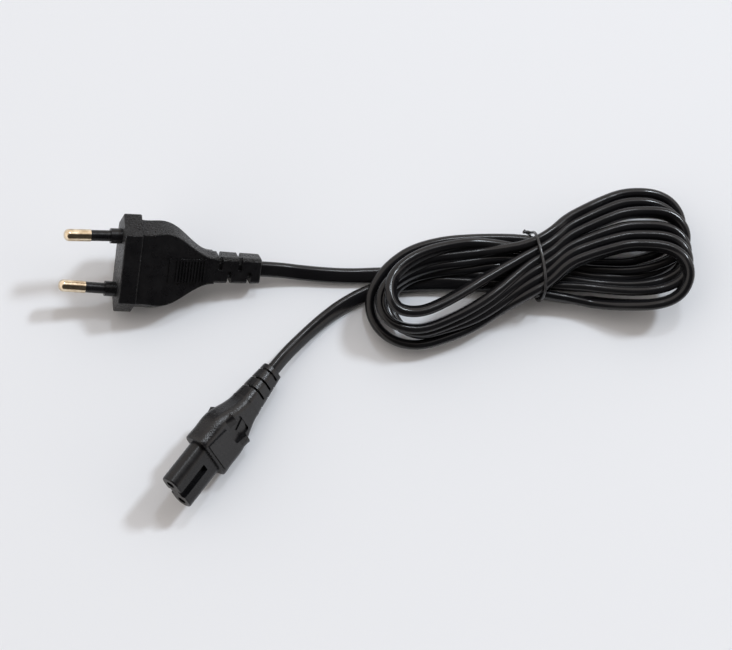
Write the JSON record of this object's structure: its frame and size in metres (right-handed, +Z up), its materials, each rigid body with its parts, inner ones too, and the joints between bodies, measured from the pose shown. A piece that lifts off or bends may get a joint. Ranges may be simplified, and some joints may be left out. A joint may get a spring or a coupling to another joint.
{
  "type": "power cord",
  "caption": "Flat mains lead with a slim round-pin plug, a figure-eight connector and its cable wound into a tied hank.",
  "frame": {"origin": "on the surface that the lead lies on, under the middle of the box round the plug and the connector", "axes": "+X from the plug's pins towards the hank, +Y from the connector's side towards the plug's side, +Z up"},
  "size_m": [0.2138, 0.1094, 0.0257],
  "materials": {
    "plug_moulding": "fine sparked texture, smooth tail",
    "carrier_plastic": "smooth hard moulding",
    "pin_metal": "nickel plated, polished",
    "copper": "bare stranded copper",
    "core_brown": "smooth",
    "core_blue": "smooth",
    "cable_sheath": "extruded, satin gloss",
    "connector_moulding": "fine sparked texture, smooth sleeve",
    "nose_plastic": "smooth hard moulding",
    "contact_metal": "tinned brass",
    "tie_wire": "black coated wire"
  },
  "bodies": {
    "root": {"plug_body": "plug_moulding", "pin_carrier": "carrier_plastic", "pin_far": "pin_metal", "pin_near": "pin_metal", "plug_conductor_far": "copper", "plug_conductor_near": "copper", "plug_core_far": "core_brown", "plug_core_near": "core_blue", "plug_cable_end": "cable_sheath", "connector_body": "connector_moulding", "nose_block": "nose_plastic", "contact_upper": "contact_metal", "contact_lower": "contact_metal", "connector_conductor_upper": "copper", "connector_conductor_lower": "copper", "connector_core_upper": "core_brown", "connector_core_lower": "core_blue", "connector_cable_end": "cable_sheath", "cord_to_plug": "cable_sheath", "cord_to_connector": "cable_sheath", "cord_hank": "cable_sheath", "hank_tie": "tie_wire"}
  },
  "joints": []
}
